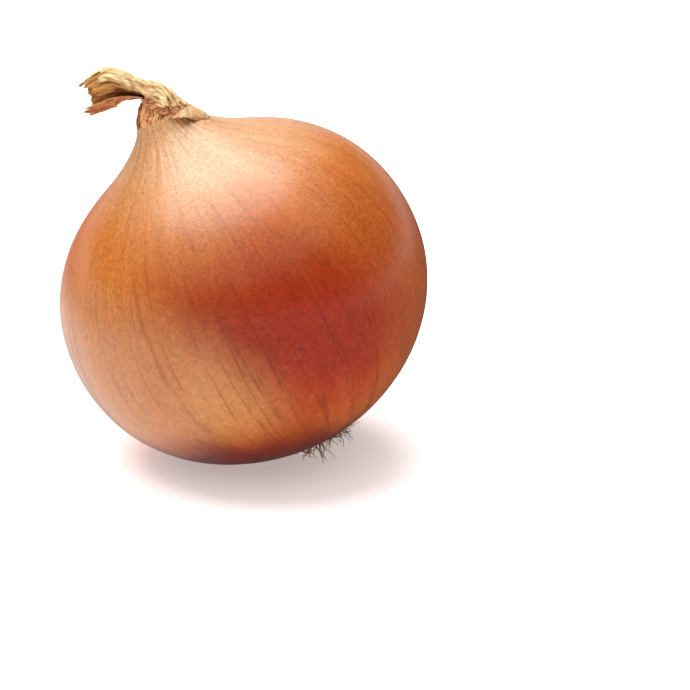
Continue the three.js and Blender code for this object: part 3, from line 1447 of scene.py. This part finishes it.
@dataclass
class RootEnd:
    """The corky root plate and the short dead roots that curl out of it.

    Lengths are millimetres.

    Attributes:
        form: The bulb's form.
        plate_radius: The plate's radius.
        plate_height: How far its middle stands out.
        plate_depth: How far it reaches into the bulb.
        roughness: The height of its lumps.
        roots: How many roots there are.
        longest: The length of the longest.
        joints: How many points each is drawn through.
        curl: How much each turns from point to point.
        thickness: The radius of a root at its foot.
        ground: How far over the ground the roots stay.
        seed: Which lumps and roots.
    """

    form: BulbForm
    plate_radius: float = 6.3
    plate_height: float = 1.0
    plate_depth: float = 1.6
    roughness: float = 0.3
    roots: int = 150
    longest: float = 7.0
    joints: int = 12
    curl: float = 0.3
    thickness: float = 0.12
    ground: float = 0.35
    seed: int = 5

    def build(self) -> list[bpy.types.Object]:
        """Builds the plate and two heaps of roots, one pale and one dark.

        Returns:
            The dressed pieces.
        """
        shades = (("pale", rgb("d0ae76"), rgb("8a6438")), ("dark", rgb("9a7244"), rgb("54361c")))
        heaps = [self.heap(*shade, index) for index, shade in enumerate(shades)]
        return [self.plate(), *heaps]

    def plate(self) -> bpy.types.Object:
        """Turns the low corky disc, roughens it and sets it on the root end.

        Returns:
            The dressed plate.
        """
        foot = -self.form.root_depth * self.form.radius / MM
        top = foot + self.plate_depth
        dome = [
            (self.plate_radius * share, foot - self.plate_height * (1 - share**3) + 0.6 * share**2)
            for share in np.linspace(0, 1, 9)
        ]
        outline = [*dome, (self.plate_radius * 0.8, top), (0, top)]
        piece = turned("root_plate", [Vector((x, 0, z)) * MM for x, z in outline], 48)
        subdivide(piece, 1)
        points = get_points(piece)
        outer = smooth(-points[:, 2] / MM, -foot - 1.2, -foot - 0.4)
        rough = lumps(points, 1.1 * MM, self.seed, 3) * self.roughness * MM * outer
        points += points / np.linalg.norm(points, axis=1)[:, None] * rough[:, None]
        set_points(piece, points)
        freeze(piece, self.form.placing())
        finish_piece(piece, "root_tuft", RootFibre("root_cork").build())
        return piece

    def heap(self, name: str, pale: Color, dark: Color, index: int) -> bpy.types.Object:
        """Draws half of the roots as thin curves and turns them into one mesh.

        Args:
            name: Which heap.
            pale: Its lighter colour.
            dark: Its darker colour.
            index: Which share of the roots it takes.

        Returns:
            The dressed heap.
        """
        draw = np.random.default_rng(self.seed + index)
        data = bpy.data.curves.new(f"roots_{name}", "CURVE")
        data.dimensions = "3D"
        data.bevel_depth = self.thickness * MM
        data.bevel_resolution = 0
        data.resolution_u = 2
        for _ in range(self.roots // 2):
            line = self.root_line(draw)
            spline = data.splines.new("POLY")
            spline.points.add(len(line) - 1)
            for point, place, share in zip(spline.points, line, np.linspace(0, 1, len(line))):
                point.co = (*place, 1)
                point.radius = 1.15 - 0.75 * share
        piece = bpy.data.objects.new(f"roots_{name}", data)
        bpy.context.collection.objects.link(piece)
        pick(piece)
        bpy.ops.object.convert(target="MESH")
        finish_piece(piece, "root_tuft", RootFibre(f"root_{name}", pale, dark).build())
        return piece

    def root_line(self, draw: np.random.Generator) -> list[Vector]:
        """Grows one root from the plate: outwards, then curling, and along the ground if it gets there.

        Args:
            draw: The source of the random turns.

        Returns:
            The root's points, where the onion stands.
        """
        placing = self.form.placing()
        turn = draw.uniform(0, FULL_TURN)
        reach = self.plate_radius * math.sqrt(draw.uniform(0.02, 0.95))
        foot = -self.form.root_depth * self.form.radius / MM - 0.5 + 0.4 * (reach / self.plate_radius) ** 2
        place = Vector((reach * math.cos(turn), reach * math.sin(turn), foot))
        splay = draw.uniform(0.4, 2.0)
        heading = Vector((math.cos(turn) * splay, math.sin(turn) * splay, -1)).normalized()
        step = self.longest * draw.uniform(0.3, 1) / self.joints
        line = []
        for _ in range(self.joints):
            world = placing @ (place * MM)
            world.z = max(world.z, self.ground * MM + self.thickness * MM)
            line.append(world)
            heading += Vector(draw.normal(0, self.curl, 3))
            heading.z = min(heading.z, -0.05)
            heading.normalize()
            place = place + heading * step
        return line


# ---------------------------------------------------------------------------------------------
# The studio
# ---------------------------------------------------------------------------------------------


@dataclass
class Studio:
    """The pale floor, the soft lights and the camera.

    Attributes:
        form: The bulb's form.
        elevation: How far the camera looks down.
        lens: Its focal length in millimetres.
        sensor: Its sensor's width in millimetres.
        picture_width: How wide the picture is at the bulb, in radii.
        right_of_bulb: How far right of the bulb its middle is, as a share of that width.
        below_bulb: How far below the bulb it is.
        floor_size: The width of the floor, in metres.
        floor_glow: How much light the floor gives.
        glow_color: That light's colour.
        softboxes: The name of each softbox, where it is, the angle across it and its strength.
        wall_edge: The heights between which the wall's brightness ends, as sines.
        wall_strength: How bright the wall is.
        room_strength: How bright the rest of the room is.
        bench_strength: How bright the bench at the left is.
    """

    form: BulbForm
    elevation: float = math.radians(20)
    lens: float = 200
    sensor: float = 36
    picture_width: float = 3.67
    right_of_bulb: float = 0.144
    below_bulb: float = 0.0764
    floor_size: float = 8
    floor_glow: float = 0.4
    glow_color: Color = (1.0, 0.9, 0.87)
    softboxes: tuple[tuple[str, tuple[float, float, float], float, float], ...] = (
        ("overhead_softbox", (-0.25, 0.2, 0.95), 60, 3.8),
        ("wide_fill", (-0.15, -0.12, 0.98), 110, 2.0),
    )
    wall_edge: tuple[float, float] = (0.04, 0.08)
    wall_strength: float = 1.0
    room_strength: float = 0.1
    bench_strength: float = 1.4

    def build(self) -> None:
        """Makes the floor, the lights and the camera, and sets how light turns into colour."""
        self.floor()
        self.camera()
        for box in self.softboxes:
            self.softbox(*box)
        self.surroundings()
        bpy.context.scene.view_settings.view_transform = "Standard"

    def camera(self) -> None:
        """Puts a long lens in front of the onion, looking a little down on it."""
        width = self.picture_width * self.form.radius
        back = Vector((0, -math.cos(self.elevation), math.sin(self.elevation)))
        up = Vector((0, math.sin(self.elevation), math.cos(self.elevation)))
        target = self.form.centre() + width * (self.right_of_bulb * Vector((1, 0, 0)) - self.below_bulb * up)
        deselect_all()
        bpy.ops.object.camera_add(location=target + back * (width * self.lens / self.sensor))
        camera = bpy.context.object
        camera.name = "camera"
        camera.rotation_euler = (-back).to_track_quat("-Z", "Y").to_euler()
        camera.data.lens = self.lens
        camera.data.sensor_width = self.sensor
        camera.data.clip_start = 0.01
        bpy.context.scene.camera = camera

    @staticmethod
    def softbox(name: str, source: tuple[float, float, float], width: float, strength: float) -> None:
        """Hangs a round, even softbox, so far away that it lights the whole floor alike.

        Args:
            name: The light's name.
            source: The direction that the light comes from.
            width: The angle across it in degrees, as seen from the onion.
            strength: Its light on a surface that faces it, in watts for each square metre.
        """
        deselect_all()
        bpy.ops.object.light_add(type="SUN", location=(0, 0, 1))
        lamp = bpy.context.object
        lamp.name = name
        lamp.rotation_euler = Vector(source).to_track_quat("Z", "Y").to_euler()
        lamp.data.angle = math.radians(width)
        lamp.data.energy = strength

    def floor(self) -> None:
        """Lays a wide white sheet, lit a little from below like a light table."""
        deselect_all()
        bpy.ops.mesh.primitive_grid_add(
            x_subdivisions=8, y_subdivisions=8, size=self.floor_size, location=(0, 0, 0)
        )
        sheet = bpy.context.object
        sheet.name = "floor"
        g = Graph(bpy.data.materials.new("floor_sheet"))
        g.dress({
            "Base Color": (0.93, 0.93, 0.93),
            "Roughness": 0.9,
            "Emission Color": self.glow_color,
            "Emission Strength": self.floor_glow,
        })
        sheet.data.materials.append(g.owner)
        sheet.visible_glossy = False

    def surroundings(self) -> None:
        """Makes the room: a white wall far away at eye level, dim above, and a bright bench at the left.

        The bench is only seen in the gloss of the lower skin, because the floor hides it otherwise.
        """
        g = Graph(bpy.data.worlds.new("room"), "Background")
        bpy.context.scene.world = g.owner
        parts = g.node("ShaderNodeSeparateXYZ", {"Vector": g.coordinates["Generated"]}).outputs
        side, height = parts["X"], parts["Z"]
        wall = g.rise(g.math("ABSOLUTE", height), *self.wall_edge, 1, 0)
        bench = g.times(g.rise(height, -0.12, -0.34), g.rise(side, 0.0, -0.5))
        lit = g.math("MULTIPLY_ADD", wall, self.wall_strength, self.room_strength)
        lit = g.math("MULTIPLY_ADD", bench, self.bench_strength, lit)
        g.dress({"Strength": lit, "Color": (1, 1, 1)})


def main() -> None:
    """Builds the onion and its studio."""
    logging.basicConfig(level=logging.INFO, format="%(message)s")
    form = BulbForm.from_frame()
    Studio(form).build()
    Bulb(form).build()
    DryNeck(form).build()
    loose = DryLeaf("loose_skin", rgb("e2bd86"), rgb("a4622e"), rgb("7a4a22"))
    TornSkin("torn_tongue", form, loose).build()
    RootEnd(form).build()


if __name__ == "__main__":
    main()
